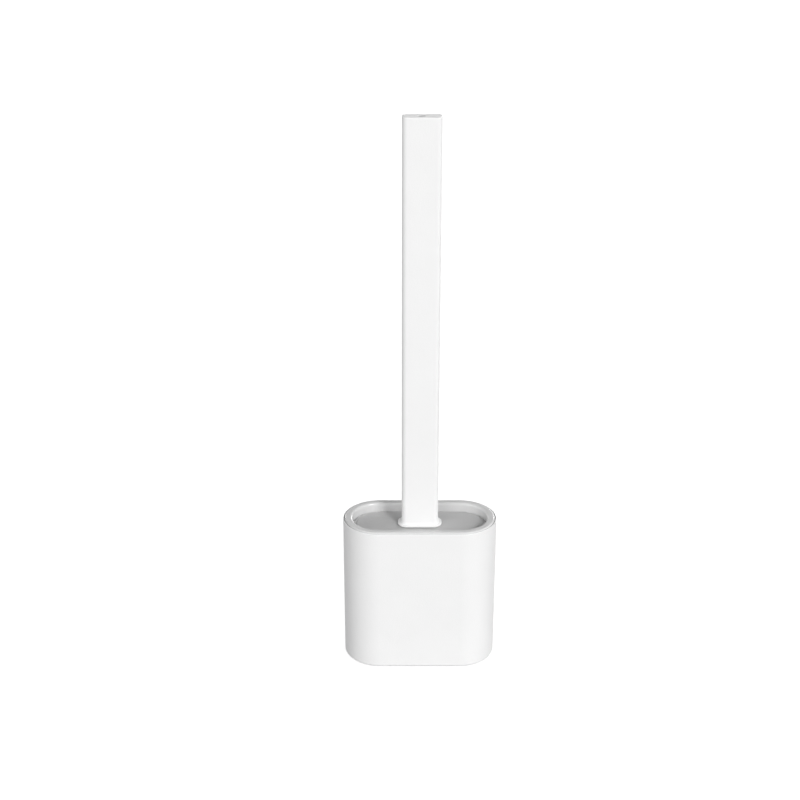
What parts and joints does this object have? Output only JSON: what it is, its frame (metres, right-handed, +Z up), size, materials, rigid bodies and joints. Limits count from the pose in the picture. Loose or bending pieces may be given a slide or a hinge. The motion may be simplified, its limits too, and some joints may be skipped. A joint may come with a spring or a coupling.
{
  "type": "toilet brush holder",
  "caption": "Slim free-standing toilet brush set: a flat soft-bristled brush with a straight rectangular handle stands in an oblong round-ended holder with a lift-out bucket.",
  "frame": {"origin": "centre of the holder's footprint, on the floor under its feet", "axes": "+Z up along the handle, X along the holder's long side, -Y towards the front"},
  "size_m": [0.1094, 0.052, 0.4],
  "materials": {
    "shell_plastic": "fine matte grain, white",
    "base_plastic": "matte, white",
    "foot_rubber": "soft grey rubber",
    "bucket_plastic": "polished, very light grey",
    "grid_plastic": "matte, light grey",
    "lid_plastic": "satin, light grey",
    "washer_rubber": "soft grey rubber",
    "handle_plastic": "satin with a fine grain, white",
    "stopper_rubber": "soft grey rubber",
    "core_plastic": "satin, pale grey",
    "pad_rubber": "soft matte thermoplastic rubber, light grey"
  },
  "bodies": {
    "holder": {"holder_shell": "shell_plastic", "base_plate": "base_plastic", "foot_front_left": "foot_rubber", "foot_front_right": "foot_rubber", "foot_rear_left": "foot_rubber", "foot_rear_right": "foot_rubber"},
    "bucket": {"inner_bucket": "bucket_plastic", "drip_grid": "grid_plastic"},
    "brush": {"lid": "lid_plastic", "neck_washer": "washer_rubber", "handle_body": "handle_plastic", "handle_top_plug": "handle_plastic", "top_stopper": "stopper_rubber", "head_core": "core_plastic", "bristle_head": "pad_rubber"}
  },
  "joints": [
    {"name": "bucket_lift", "type": "slide", "parent": "holder", "child": "bucket", "axis": [0, 0, 1], "range_m": [0, 0.12]},
    {"name": "brush_lift", "type": "slide", "parent": "bucket", "child": "brush", "axis": [0, 0, 1], "range_m": [0, 0.11]}
  ]
}
